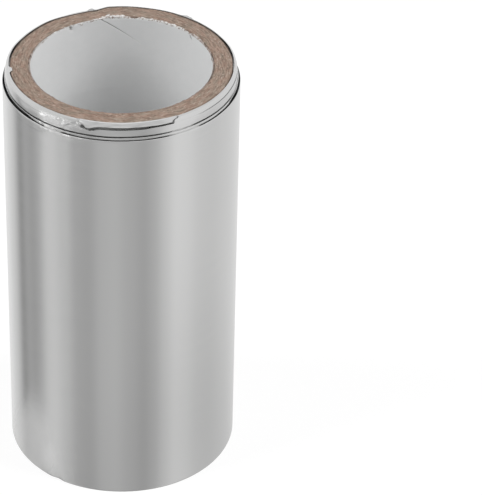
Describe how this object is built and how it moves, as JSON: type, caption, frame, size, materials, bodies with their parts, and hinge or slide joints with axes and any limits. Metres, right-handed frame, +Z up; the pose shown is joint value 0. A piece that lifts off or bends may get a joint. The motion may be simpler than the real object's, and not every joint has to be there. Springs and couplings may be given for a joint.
{
  "type": "aluminium foil roll",
  "caption": "Roll of satin aluminium foil on a paperboard tube with a white lined bore, standing on end, its first turns slipped up into a shoulder with a folded lip.",
  "frame": {"origin": "on the roll's axis, in the plane that the last turns of foil stand on", "axes": "+Z up along the roll's axis, +X to the right and +Y to the back, with the folded lip at the front on the -Y side"},
  "size_m": [0.0654, 0.0654, 0.1248],
  "materials": {
    "board": "raw fibrous cut ends, brown grey",
    "liner": "matt white paper",
    "foil": "satin rolled foil"
  },
  "bodies": {
    "root": {"core_board": "board", "core_liner": "liner", "foil_winding": "foil"}
  },
  "joints": []
}
